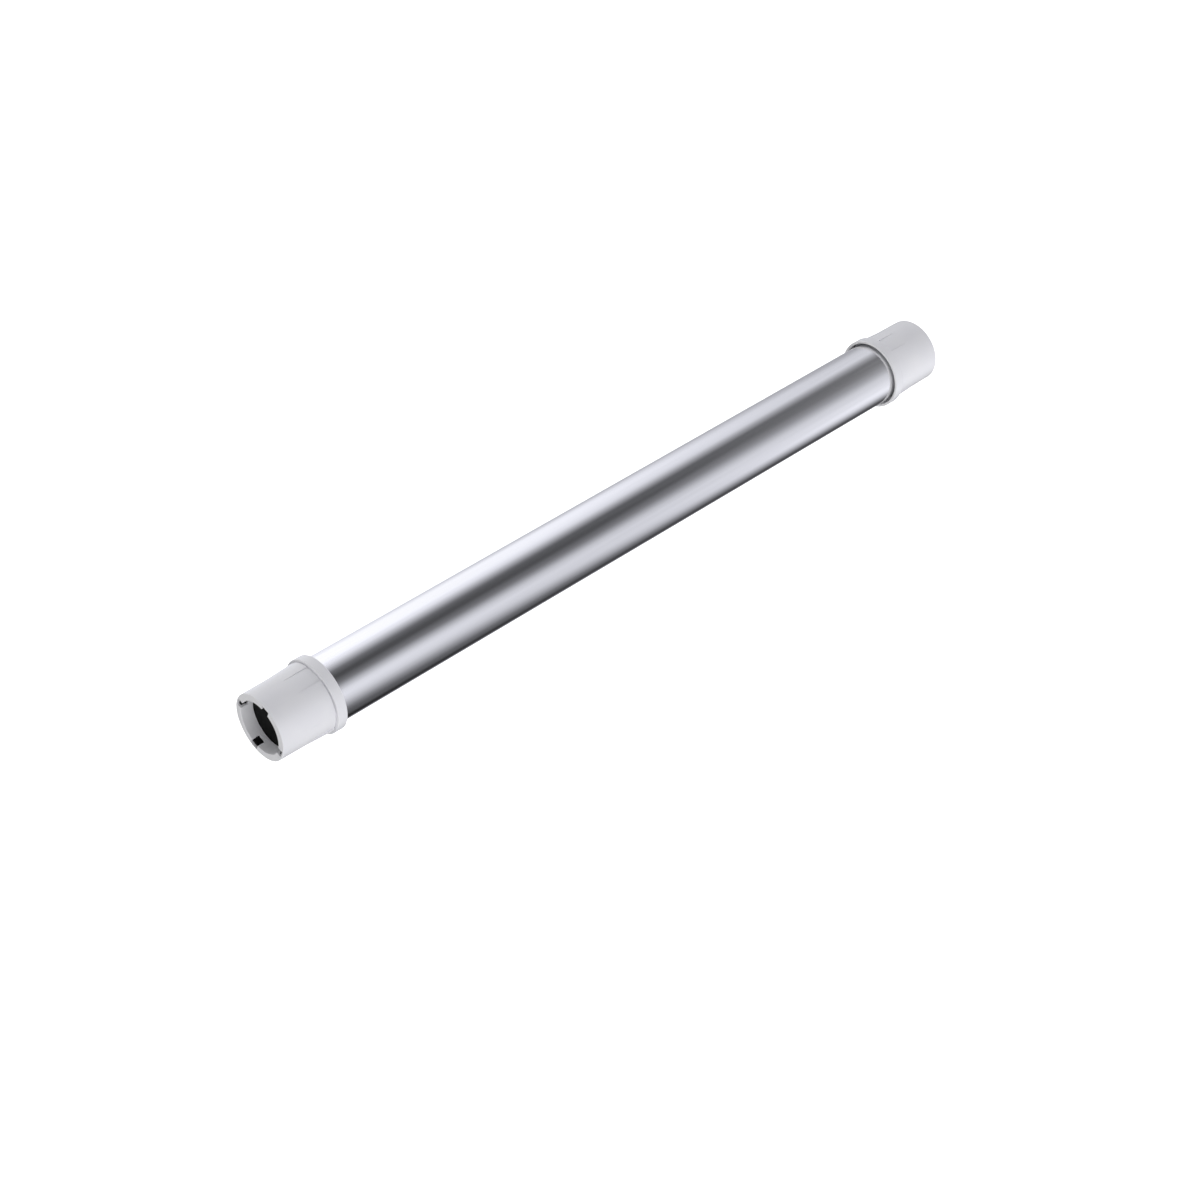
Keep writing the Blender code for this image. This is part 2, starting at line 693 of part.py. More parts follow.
def build():
    clear_scene()
    fixed_frame = link(bpy.data.objects.new("fixed_frame", None))
    tube_axis = link(bpy.data.objects.new("tube_axis", None))

    def stands(obj, finish, x=0.0):
        link(finished(obj, finish), fixed_frame, x)

    def turns(obj, finish, x=0.0):
        link(finished(obj, finish), tube_axis, x)

    for word, side in (("left", -1), ("right", 1)):
        end_x = side * HALF_LENGTH
        pin_x = side * (HALF_LENGTH - CORE_PIN_DEPTH)
        pin = rod(f"{word}_core_pin", CORE_PIN_RADIUS, CORE_PIN_LENGTH, HOOK_FIRST_ANGLE, PIN_SEGMENTS)
        stands(adapter_shell(f"{word}_adapter_shell", side), "white_plastic", end_x)
        stands(socket_core(f"{word}_socket_core", side), "black_plastic", end_x)
        stands(pin, "bright_steel", pin_x)
        turns(bearing_bush(f"{word}_bearing_bush", side), "natural_plastic", end_x)
        turns(tube_plug(f"{word}_tube_plug", side), "grey_plastic", end_x)
    stands(thrust_washer("left_thrust_washer", -1), "natural_plastic", -HALF_LENGTH)
    stands(wave_washer("right_wave_washer", 1), "spring_steel", HALF_LENGTH)

    anchor_x = SPRING_START_X - ANCHOR_CLEARANCE
    pin_offset = -ANCHOR_FLANGE_THICKNESS - ANCHOR_HUB_LENGTH / 2
    anchor_pin_x = anchor_x + pin_offset
    carrier_x = SPRING_END_X + ANCHOR_CLEARANCE
    ring_x = carrier_x + CARRIER_LENGTH + FIT_GAP + RING_THICKNESS / 2
    anchor_pin = rod("spring_anchor_pin", ANCHOR_PIN_RADIUS, ANCHOR_PIN_LENGTH, 0.0, PIN_SEGMENTS)
    turns(roller_tube("roller_tube"), "aluminium")
    turns(tube_carrier("spring_tube_carrier"), "grey_plastic", carrier_x)
    stands(fixed_shaft("fixed_shaft", ring_x, anchor_pin_x), "bright_steel")
    stands(torsion_spring("torsion_spring"), "spring_steel")
    stands(guide_sleeve("spring_guide_sleeve"), "natural_plastic", (SPRING_START_X + SPRING_END_X) / 2)
    stands(shaft_anchor("spring_shaft_anchor", pin_offset), "grey_plastic", anchor_x)
    stands(anchor_pin, "bright_steel", anchor_pin_x)
    stands(retaining_ring("carrier_retaining_ring"), "spring_steel", ring_x)


build()
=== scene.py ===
"""The looks of a roller blind's winding tube: every CAD node is replaced by a finely made piece.

The tube's axis is X, the origin is the middle of the unit, and sizes are in metres. At each end,
depth counts from the adapter's end face towards the middle, and an angle about X counts from +Y
towards +Z.
"""

import json
import math

import bmesh
import bpy
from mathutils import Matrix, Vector


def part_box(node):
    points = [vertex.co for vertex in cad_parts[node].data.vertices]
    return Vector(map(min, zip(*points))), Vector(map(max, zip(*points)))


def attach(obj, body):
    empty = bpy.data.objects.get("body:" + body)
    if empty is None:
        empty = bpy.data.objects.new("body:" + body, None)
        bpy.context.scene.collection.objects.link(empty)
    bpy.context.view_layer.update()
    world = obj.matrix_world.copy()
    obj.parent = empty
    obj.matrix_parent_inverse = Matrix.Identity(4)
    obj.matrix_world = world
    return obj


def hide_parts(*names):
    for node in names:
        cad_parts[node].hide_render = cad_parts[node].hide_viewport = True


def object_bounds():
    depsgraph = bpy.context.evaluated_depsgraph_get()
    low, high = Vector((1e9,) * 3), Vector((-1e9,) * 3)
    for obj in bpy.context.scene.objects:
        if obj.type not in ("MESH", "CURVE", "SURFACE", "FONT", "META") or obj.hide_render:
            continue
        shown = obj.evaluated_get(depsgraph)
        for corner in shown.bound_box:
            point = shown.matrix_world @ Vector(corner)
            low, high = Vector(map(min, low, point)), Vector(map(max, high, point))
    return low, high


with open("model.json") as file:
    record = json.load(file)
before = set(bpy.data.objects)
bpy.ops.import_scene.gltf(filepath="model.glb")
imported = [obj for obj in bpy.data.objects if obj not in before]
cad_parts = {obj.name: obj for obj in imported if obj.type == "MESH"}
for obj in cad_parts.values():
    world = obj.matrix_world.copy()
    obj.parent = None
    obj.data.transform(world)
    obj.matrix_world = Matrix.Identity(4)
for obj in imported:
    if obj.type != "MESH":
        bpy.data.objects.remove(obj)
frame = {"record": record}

cad_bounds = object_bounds()
record = frame["record"]

MM = 0.001
SIDES = {"left": -1, "right": 1}

# Sizes that the frame gives
HALF_LENGTH = cad_bounds[1][0]
TUBE_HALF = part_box("roller_tube")[1].x
TUBE_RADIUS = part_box("roller_tube")[1].z
COLLAR_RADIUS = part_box("left_adapter_shell")[1].z

# Sizes that are the same as in the CAD model
BODY_RADIUS = 19.6 * MM
SHAFT_RADIUS = 5 * MM

# Gaps and roundings
GAP = 0.3 * MM
OVERRUN = 1 * MM
HOLDING = 0.06 * MM
WELD = 0.0005 * MM
ARC_STEPS = 4
SEGMENTS = 128
SMALL_SEGMENTS = 64
BEVEL_SEGMENTS = 2
SMOOTH_ANGLE = math.radians(32)

# Windows in the adapters' mouths, and the hooks in them
HOOK_COUNT = 4
HOOK_ANGLE = math.radians(23.4)
WINDOW_WIDTH = 5 * MM
WINDOW_DEPTH = 4.8 * MM
WINDOW_FLOOR = 18.5 * MM
MOUTH_RADIUS = 15.5 * MM
SHELL_BORE = 18.2 * MM


# --- modelling ------------------------------------------------------------------------------------


def only(piece):
    """Makes a piece the only selected one, and the active one."""
    bpy.ops.object.select_all(action="DESELECT")
    piece.select_set(True)
    bpy.context.view_layer.objects.active = piece


def settle(piece):
    """Puts a piece's place, turn and scale into its mesh."""
    only(piece)
    bpy.ops.object.transform_apply(location=True, rotation=True, scale=True)


def edit(piece, action):
    """Runs an action on a piece in edit mode, with all of it selected at first."""
    only(piece)
    bpy.ops.object.mode_set(mode="EDIT")
    bpy.ops.mesh.select_all(action="SELECT")
    action()
    bpy.ops.object.mode_set(mode="OBJECT")


def pick(kind, test):
    """In edit mode, selects only the vertices, edges or faces that pass a test."""
    bpy.ops.mesh.select_mode(type=kind)
    bpy.ops.mesh.select_all(action="DESELECT")
    shape = bmesh.from_edit_mesh(bpy.context.object.data)
    for part in {"VERT": shape.verts, "EDGE": shape.edges, "FACE": shape.faces}[kind]:
        if test(part):
            part.select_set(True)
    shape.select_flush_mode()
    bmesh.update_edit_mesh(bpy.context.object.data)


def rounded(corners, closed):
    """An outline's corners as points, with an arc at each rounding.

    A corner is (x, radius) or (x, radius, rounding).
    """
    points = []
    for i, (x, radius, *rounding) in enumerate(corners):
        corner = Vector((x, radius))
        at_end = not closed and i in (0, len(corners) - 1)
        if at_end or not rounding:
            points.append(corner)
            continue
        before = (Vector(corners[i - 1][:2]) - corner).normalized()
        after = (Vector(corners[(i + 1) % len(corners)][:2]) - corner).normalized()
        half = before.angle(after) / 2
        reach = rounding[0] / math.tan(half)
        centre = corner + (before + after).normalized() * rounding[0] / math.sin(half)
        first = corner + before * reach - centre
        last = corner + after * reach - centre
        sweep = math.pi - 2 * half
        points.append(corner + before * (reach + HOLDING))
        for step in range(ARC_STEPS + 1):
            share = step / ARC_STEPS
            arm = first * math.sin((1 - share) * sweep) + last * math.sin(share * sweep)
            points.append(centre + arm / math.sin(sweep))
        points.append(corner + after * (reach + HOLDING))
    return points


def turned(name, corners, closed=True, segments=SEGMENTS):
    """A ring about X, extruded and scaled along an outline. An open outline ends in flat caps."""
    points = rounded(corners, closed)
    if closed:
        points.append(points[0])
    x, radius = points[0]
    bpy.ops.object.select_all(action="DESELECT")
    bpy.ops.mesh.primitive_circle_add(
        vertices=segments,
        radius=radius,
        location=(x, 0, 0),
        rotation=(0, math.pi / 2, 0),
    )
    piece = bpy.context.object
    piece.name = name
    settle(piece)
    # Its facets lie evenly about the windows and hooks
    piece.rotation_euler.x = HOOK_ANGLE
    settle(piece)

    def extrude():
        for here, there in zip(points, points[1:]):
            step = (there.x - here.x, 0, 0)
            bpy.ops.mesh.extrude_edges_move(TRANSFORM_OT_translate={"value": step})
            scale = there.y / here.y
            bpy.ops.transform.resize(value=(1, scale, scale), center_override=(there.x, 0, 0))
        bpy.ops.mesh.select_all(action="SELECT")
        if closed:
            bpy.ops.mesh.remove_doubles(threshold=MM / 1000)
        else:
            bpy.ops.mesh.fill_holes(sides=0)
            bpy.ops.mesh.select_all(action="SELECT")
        bpy.ops.mesh.normals_make_consistent(inside=False)

    edit(piece, extrude)
    return piece


def block(name, low, high, angle=0.0):
    """A block between two corners, each (x, out, across).

    It is turned about X so that out points at the angle.
    """
    middle = [(a + b) / 2 for a, b in zip(low, high)]
    size = [abs(b - a) for a, b in zip(low, high)]
    bpy.ops.object.select_all(action="DESELECT")
    bpy.ops.mesh.primitive_cube_add(size=1, location=middle, scale=size)
    piece = bpy.context.object
    piece.name = name
    settle(piece)
    piece.rotation_euler.x = angle
    return piece


def weld(piece):
    """Merges the points that cutting leaves almost together."""
    edit(piece, lambda: bpy.ops.mesh.remove_doubles(threshold=WELD))


def shape_with(piece, helper, operation):
    """Joins a helper to a piece, or cuts it away, and removes the helper."""
    settle(helper)
    only(piece)
    modifier = piece.modifiers.new("shape", "BOOLEAN")
    modifier.operation = operation
    modifier.object = helper
    bpy.ops.object.modifier_apply(modifier=modifier.name)
    bpy.data.objects.remove(helper)
    weld(piece)


def soften(piece, width):
    """Rounds a piece's sharp edges a little."""
    only(piece)
    modifier = piece.modifiers.new("edges", "BEVEL")
    modifier.width = width
    modifier.segments = BEVEL_SEGMENTS
    modifier.angle_limit = SMOOTH_ANGLE
    bpy.ops.object.modifier_apply(modifier=modifier.name)


def smooth(piece):
    """Shades a piece smooth, apart from its sharp edges."""
    only(piece)
    bpy.ops.object.shade_smooth_by_angle(angle=SMOOTH_ANGLE)


def mirrored(piece, name):
    """The same piece for the other end, with its own mesh, turned right side out."""
    only(piece)
    bpy.ops.object.duplicate()
    copy = bpy.context.object
    copy.name = name
    copy.scale.x = -1
    settle(copy)
    edit(copy, lambda: bpy.ops.mesh.normals_make_consistent(inside=False))
    return copy


def around(first=HOOK_ANGLE, count=HOOK_COUNT):
    """Angles evenly round the X axis, from the first."""
    return [first + math.tau * i / count for i in range(count)]


def at_end(side, corners):
    """Corners as (depth, radius, ...) at an end, turned to (x, radius, ...)."""
    return [(side * (HALF_LENGTH - depth), *rest) for depth, *rest in corners]


def cross_rod(name, radius, length, x, angle, rounding=None):
    """A rod across X at an angle about it."""
    end = length / 2
    rim = (radius, rounding) if rounding else (radius,)
    corners = [(-end, radius / 2), (-end, *rim), (end, *rim), (end, radius / 2)]
    rod = turned(name, corners, False, SMALL_SEGMENTS)
    rod.rotation_euler.z = math.pi / 2
    settle(rod)
    rod.rotation_euler.x = angle
    rod.location.x = x
    settle(rod)
    return rod


# --- adapters -------------------------------------------------------------------------------------

BODY_LENGTH = 34 * MM
COLLAR_LENGTH = 6 * MM
BODY_BASE_RADIUS = 19.9 * MM
COLLAR_BORE = 20.1 * MM
COLLAR_FLOOR = 35 * MM
LIP_DEPTH = 7.7 * MM
PASSAGE = (16.5 * MM, 17.8 * MM)
WEDGE_START = 17 * MM
WEDGE_RISE = 0.6 * MM
WEDGE_ROOT = 0.6 * MM
WEDGE_TOE = 0.03 * MM
WEDGE_ANGLE = math.radians(28)
WEDGE_SWEEP = math.radians(58)
CREASE_WIDTH = 0.5 * MM
CREASE_DEPTH = 0.5 * MM
WEDGE_CREASE = 0.24 * MM
WEDGE_CREASE_FLOOR = 19.66 * MM
WEDGE_CREASE_START = 19 * MM
OVERLAP = 0.02 * MM
EDGE_ROUNDING = 0.35 * MM


def body_radius(depth):
    """The tapered body's radius at a depth."""
    return BODY_RADIUS + (BODY_BASE_RADIUS - BODY_RADIUS) * depth / BODY_LENGTH


def cut_sector(piece, start, sweep):
    """Leaves only the sector of a turned piece between two angles about X."""
    for angle, side in ((start, -1), (start + sweep, 1)):
        normal = (0, -side * math.sin(angle), side * math.cos(angle))
        edit(
            piece,
            lambda: bpy.ops.mesh.bisect(
                plane_co=(0, 0, 0),
                plane_no=normal,
                use_fill=True,
                clear_outer=True,
            ),
        )


def adapter_shell(name, side):
    """The white shell: a tapered body with a collar, a mouth, four wedges and four windows."""
    end = BODY_LENGTH + COLLAR_LENGTH
    shell = turned(
        name,
        at_end(
            side,
            [
                (0, MOUTH_RADIUS, 0.2 * MM),
                (0, BODY_RADIUS, EDGE_ROUNDING),
                (BODY_LENGTH - CREASE_WIDTH, BODY_BASE_RADIUS),
                (BODY_LENGTH - CREASE_WIDTH, BODY_BASE_RADIUS - CREASE_DEPTH),
                (BODY_LENGTH, BODY_BASE_RADIUS - CREASE_DEPTH),
                (BODY_LENGTH, COLLAR_RADIUS, EDGE_ROUNDING),
                (end, COLLAR_RADIUS, EDGE_ROUNDING),
                (end, COLLAR_BORE, 0.6 * MM),
                (COLLAR_FLOOR, COLLAR_BORE),
                (COLLAR_FLOOR, SHELL_BORE),
                (LIP_DEPTH, SHELL_BORE),
                (LIP_DEPTH, MOUTH_RADIUS),
            ],
        ),
    )
    wedge_end = BODY_LENGTH - CREASE_WIDTH - OVERLAP
    toe = body_radius(WEDGE_START)
    wedge = [
        (WEDGE_START, toe - WEDGE_ROOT),
        (WEDGE_START, toe - WEDGE_TOE),
        (wedge_end, BODY_BASE_RADIUS + WEDGE_RISE),
        (wedge_end, BODY_BASE_RADIUS - WEDGE_ROOT),
    ]
    foot = side * (HALF_LENGTH - WEDGE_CREASE_START)
    past_wedge = side * (HALF_LENGTH - wedge_end - CREASE_WIDTH / 2)
    for angle in around(WEDGE_ANGLE):
        raised = turned("wedge", at_end(side, wedge))
        # A third of a facet out of step, so that no edge of the wedge runs along one of the body
        raised.rotation_euler.x = math.tau / SEGMENTS / 3
        settle(raised)
        cut_sector(raised, angle, WEDGE_SWEEP)
        shape_with(shell, raised, "UNION")
        for edge, across in ((angle, OVERLAP - WEDGE_CREASE), (angle + WEDGE_SWEEP, -OVERLAP)):
            low = (foot, WEDGE_CREASE_FLOOR, across)
            high = (past_wedge, COLLAR_RADIUS, across + WEDGE_CREASE)
            shape_with(shell, block("crease", low, high, edge), "DIFFERENCE")
    half = WINDOW_WIDTH / 2
    outside = side * (HALF_LENGTH + OVERRUN)
    window_end = side * (HALF_LENGTH - WINDOW_DEPTH)
    past_lip = side * (HALF_LENGTH - LIP_DEPTH - OVERRUN)
    for angle in around():
        low = (outside, MOUTH_RADIUS - OVERRUN, -half)
        window = block("window", low, (window_end, WINDOW_FLOOR, half), angle)
        shape_with(shell, window, "DIFFERENCE")
        narrow = half - OVERLAP
        low = (window_end, PASSAGE[0], -narrow)
        passage = block("passage", low, (past_lip, PASSAGE[1], narrow), angle)
        passage.location.x = side * OVERRUN / 2
        shape_with(shell, passage, "DIFFERENCE")
    return shell


DISC_DEPTH = 8 * MM
DISC_BACK = 10.2 * MM
DISC_RADIUS = SHELL_BORE - GAP
HUB_END = 32 * MM
HUB_RADIUS = 9 * MM
RIB_HALF = 1 * MM
RIB_SETBACK = 1 * MM
HOOK_HALF = WINDOW_WIDTH / 2 - 0.05 * MM
HOOK_STEM = (16.8 * MM, 17.5 * MM)
HOOK_BARB = 18.2 * MM
HOOK_FACE = 16.6 * MM
HOOK_HEEL = 16.1 * MM
HOOK_TIP = 1.1 * MM
HOOK_RAMP = (2.9 * MM, 3.8 * MM)
HOOK_CATCH = 4.3 * MM
SHAFT_END = 12 * MM
FLAT_HALF = 4 * MM
CORE_PIN_RADIUS = 1.5 * MM
CORE_PIN_DEPTH = 22 * MM
CORE_PIN_LENGTH = 16 * MM


def hook(side, angle):
    """One snap hook: a barbed head whose heel ramps inwards, on a stem back into the disc."""
    tip = side * (HALF_LENGTH - HOOK_TIP)
    catch = side * (HALF_LENGTH - HOOK_CATCH)
    ramp_start, ramp_end = (side * (HALF_LENGTH - depth) for depth in HOOK_RAMP)
    root = side * (HALF_LENGTH - (DISC_DEPTH + DISC_BACK) / 2)
    head = block("hook", (tip, HOOK_FACE, -HOOK_HALF), (catch, HOOK_BARB, HOOK_HALF))
    settle(head)

    def carve():
        for x in (ramp_start, ramp_end):
            bpy.ops.mesh.select_all(action="SELECT")
            bpy.ops.mesh.bisect(plane_co=(x, 0, 0), plane_no=(1, 0, 0))
        for radius in HOOK_STEM:
            bpy.ops.mesh.select_all(action="SELECT")
            bpy.ops.mesh.bisect(plane_co=(0, radius, 0), plane_no=(0, 1, 0))
        near = MM / 100
        pick("VERT", lambda v: v.co.y < HOOK_FACE + near and side * (v.co.x - ramp_end) < near)
        bpy.ops.transform.translate(value=(0, HOOK_HEEL - HOOK_FACE, 0))
        middle = sum(HOOK_STEM) / 2
        pick(
            "FACE",
            lambda f: abs(f.calc_center_median().x - catch) < near
            and abs(f.calc_center_median().y - middle) < near,
        )
        bpy.ops.mesh.extrude_region_move(TRANSFORM_OT_translate={"value": (root - catch, 0, 0)})

    edit(head, carve)
    soften(head, 0.1 * MM)
    head.rotation_euler.x = angle
    return head


def flatted_rod(name, corners, half_flat, flat_end):
    """A turned rod with two flats, above and below, from its ends in as far as flat_end."""
    rod = turned(name, corners, False, SMALL_SEGMENTS)
    reach = HALF_LENGTH + OVERRUN
    wide = 2 * SHAFT_RADIUS
    for side in SIDES.values():
        for angle in (math.pi / 2, -math.pi / 2):
            low = (side * flat_end, half_flat, -wide)
            shape_with(rod, block("flat", low, (side * reach, wide, wide), angle), "DIFFERENCE")
    return rod


def socket_core(name, side):
    """The black core: a disc with four hooks in front and a ribbed hub for the shaft behind."""
    core = turned(
        name,
        at_end(
            side,
            [
                (DISC_DEPTH, DISC_RADIUS / 2),
                (DISC_DEPTH, DISC_RADIUS, 0.2 * MM),
                (DISC_BACK, DISC_RADIUS, 0.2 * MM),
                (DISC_BACK, HUB_RADIUS, 0.3 * MM),
                (HUB_END, HUB_RADIUS, 0.3 * MM),
                (HUB_END, HUB_RADIUS / 2),
            ],
        ),
        closed=False,
    )
    inside_disc = side * (HALF_LENGTH - (DISC_DEPTH + DISC_BACK) / 2)
    rib_end = side * (HALF_LENGTH - HUB_END + RIB_SETBACK)
    for angle in around(HOOK_ANGLE + math.pi / HOOK_COUNT):
        low = (inside_disc, HUB_RADIUS / 2, -RIB_HALF)
        rib = block("rib", low, (rib_end, DISC_RADIUS - RIB_SETBACK, RIB_HALF), angle)
        soften(rib, 0.2 * MM)
        shape_with(core, rib, "UNION")
    for angle in around():
        shape_with(core, hook(side, angle), "UNION")
    floor = side * (HALF_LENGTH - SHAFT_END + OVERRUN / 2)
    mouth = side * (HALF_LENGTH - HUB_END - OVERRUN)
    wide = SHAFT_RADIUS + GAP
    socket = turned(
        "socket",
        [(floor, wide / 2), (floor, wide), (mouth, wide), (mouth, wide / 2)],
        False,
        SMALL_SEGMENTS,
    )
    for sign in (-1, 1):
        edit(
            socket,
            lambda: bpy.ops.mesh.bisect(
                plane_co=(0, 0, sign * (FLAT_HALF + GAP)),
                plane_no=(0, 0, sign),
                use_fill=True,
                clear_outer=True,
            ),
        )
    shape_with(core, socket, "DIFFERENCE")
    pin_x = side * (HALF_LENGTH - CORE_PIN_DEPTH)
    hole = cross_rod("hole", CORE_PIN_RADIUS + GAP, 2 * (HUB_RADIUS + OVERRUN), pin_x, HOOK_ANGLE)
    shape_with(core, hole, "DIFFERENCE")
    return core


# --- what turns: tube, plugs, bushes and the spring's carrier -------------------------------------

TUBE_BORE = TUBE_RADIUS - 1.2 * MM
KEY_HEIGHT = 1.5 * MM
KEY_HALF = 1 * MM
KEY_ANGLES = (0.0, math.pi)
PLUG_HUB = (35.7 * MM, 54.1 * MM)
BUSH_FLANGE = 33.6 * MM
BUSH_BACK = 35.1 * MM
BUSH_END = 53.1 * MM
BUSH_BORE = SHAFT_RADIUS + GAP
BUSH_RADIUS = 8 * MM


def roller_tube(name):
    """The drawn tube, with its two keys along the bore and its ends broken a little."""
    tube = turned(
        name,
        [
            (-TUBE_HALF, TUBE_BORE, 0.15 * MM),
            (-TUBE_HALF, TUBE_RADIUS, 0.2 * MM),
            (TUBE_HALF, TUBE_RADIUS, 0.2 * MM),
            (TUBE_HALF, TUBE_BORE, 0.15 * MM),
        ],
        segments=2 * SEGMENTS,
    )
    for angle in KEY_ANGLES:
        low = (-TUBE_HALF + GAP, TUBE_BORE - KEY_HEIGHT, -KEY_HALF)
        key = block("key", low, (TUBE_HALF - GAP, TUBE_BORE + GAP, KEY_HALF), angle)
        soften(key, 0.2 * MM)
        shape_with(tube, key, "UNION")
    return tube


def cut_key_slots(piece, start, end):
    """Cuts the two slots that slide along the tube's keys."""
    for angle in KEY_ANGLES:
        low = (start, TUBE_BORE - KEY_HEIGHT - GAP, -KEY_HALF - GAP)
        slot = block("slot", low, (end, TUBE_RADIUS, KEY_HALF + GAP), angle)
        shape_with(piece, slot, "DIFFERENCE")


def tube_plug(name, side):
    """The plug in the tube's end: a rim, a sleeve, and a web that carries the bush's hub."""
    bore = BUSH_RADIUS + GAP
    hub = 11 * MM
    sleeve = TUBE_BORE - GAP
    sleeve_bore = sleeve - 2.8 * MM
    rim, rim_back, sleeve_end = (depth * MM for depth in (36, 37, 58))
    web, web_back = 44 * MM, 47 * MM
    front, back = PLUG_HUB
    plug = turned(
        name,
        at_end(
            side,
            [
                (front, bore, 0.2 * MM),
                (front, hub, 0.4 * MM),
                (web, hub, 0.4 * MM),
                (web, sleeve_bore, 0.4 * MM),
                (rim, sleeve_bore, 0.3 * MM),
                (rim, 18.8 * MM, 0.25 * MM),
                (rim_back, 18.8 * MM, 0.15 * MM),
                (rim_back, sleeve),
                (sleeve_end, sleeve, 0.5 * MM),
                (sleeve_end, sleeve_bore, 0.3 * MM),
                (web_back, sleeve_bore, 0.4 * MM),
                (web_back, hub, 0.4 * MM),
                (back, hub, 0.4 * MM),
                (back, bore, 0.2 * MM),
            ],
        ),
    )
    slot_ends = [side * (HALF_LENGTH - depth) for depth in (rim_back, sleeve_end + OVERRUN)]
    cut_key_slots(plug, *slot_ends)
    return plug


def bearing_bush(name, side):
    """The flanged bush that turns on the shaft."""
    corners = [
        (BUSH_FLANGE, BUSH_BORE, 0.2 * MM),
        (BUSH_FLANGE, 10 * MM, 0.3 * MM),
        (BUSH_BACK, 10 * MM, 0.3 * MM),
        (BUSH_BACK, BUSH_RADIUS, 0.1 * MM),
        (BUSH_END, BUSH_RADIUS, 0.4 * MM),
        (BUSH_END, BUSH_BORE, 0.3 * MM),
    ]
    return turned(name, at_end(side, corners), segments=SMALL_SEGMENTS)


# --- what stands still inside: shaft, pins, washers and the spring --------------------------------

SPRING_START = -168 * MM
SPRING_PITCH = 3.2 * MM
SPRING_TURNS = 30
SPRING_WIRE = 0.6 * MM
SPRING_COIL = 11 * MM
SPRING_TAIL = 6 * MM
SPRING_BEND = 2 * MM
SPRING_STEPS = 24
SPRING_SIDES = 12
BEND_STEPS = 6
SPRING_END = SPRING_START + SPRING_PITCH * SPRING_TURNS
ANCHOR_X = SPRING_START - 1.2 * MM
ANCHOR_FLANGE = 4 * MM
ANCHOR_HUB_LENGTH = 12 * MM
ANCHOR_HUB = 9.5 * MM
ANCHOR_PIN_X = ANCHOR_X - ANCHOR_FLANGE - ANCHOR_HUB_LENGTH / 2
ANCHOR_PIN_RADIUS = 1.25 * MM
ANCHOR_PIN_LENGTH = 17 * MM
CARRIER_X = SPRING_END + 1.2 * MM
CARRIER_LENGTH = 18 * MM
RING_HALF = 0.5 * MM
RING_X = CARRIER_X + CARRIER_LENGTH + GAP + RING_HALF
RING_MOUTH = 4 * MM
GROOVE = 0.6 * MM


def fixed_shaft(name):
    """The shaft: flats at both ends, a groove for the ring and holes for the pins."""
    half = HALF_LENGTH - SHAFT_END
    groove = RING_HALF + GAP
    low = SHAFT_RADIUS - GROOVE
    corners = [
        (-half, SHAFT_RADIUS / 2),
        (-half, SHAFT_RADIUS, 0.5 * MM),
        (RING_X - groove, SHAFT_RADIUS, 0.08 * MM),
        (RING_X - groove, low),
        (RING_X + groove, low),
        (RING_X + groove, SHAFT_RADIUS, 0.08 * MM),
        (half, SHAFT_RADIUS, 0.5 * MM),
        (half, SHAFT_RADIUS / 2),
    ]
    shaft = flatted_rod(name, corners, FLAT_HALF, HALF_LENGTH - HUB_END)
    across = 2 * (SHAFT_RADIUS + OVERRUN)
    for side in SIDES.values():
        pin_x = side * (HALF_LENGTH - CORE_PIN_DEPTH)
        hole = cross_rod("hole", CORE_PIN_RADIUS + GAP, across, pin_x, HOOK_ANGLE)
        shape_with(shaft, hole, "DIFFERENCE")
    hole = cross_rod("hole", ANCHOR_PIN_RADIUS + GAP, across, ANCHOR_PIN_X, 0.0)
    shape_with(shaft, hole, "DIFFERENCE")
    return shaft


def core_dowel(name, side):
    """The cross pin that keeps a core on the shaft."""
    pin_x = side * (HALF_LENGTH - CORE_PIN_DEPTH)
    return cross_rod(name, CORE_PIN_RADIUS, CORE_PIN_LENGTH, pin_x, HOOK_ANGLE, 0.2 * MM)


def washer(name, side, front, back, bore, radius, rounding):
    """A flat washer between two depths, with its edges rounded."""
    places = ((front, bore), (front, radius), (back, radius), (back, bore))
    corners = [(*place, rounding) for place in places]
    return turned(name, at_end(side, corners), segments=SMALL_SEGMENTS)


def wave_washer(name, side):
    """A spring washer in three waves."""
    waves = 3
    thickness = 0.5 * MM
    swing = 0.25 * MM
    middle = 32.8 * MM
    ring = washer(
        name,
        side,
        middle - thickness / 2,
        middle + thickness / 2,
        BUSH_BORE,
        8.5 * MM,
        0.1 * MM,
    )
    column = math.tau / SMALL_SEGMENTS

    def wave():
        for angle in around(count=SMALL_SEGMENTS):
            across = Vector((0, math.cos(angle), math.sin(angle)))
            near = math.cos(column / 2)
            pick("VERT", lambda v: v.co.dot(across) > near * v.co.yz.length)
            bpy.ops.transform.translate(value=(swing * math.sin(waves * angle), 0, 0))

    edit(ring, wave)
    return ring


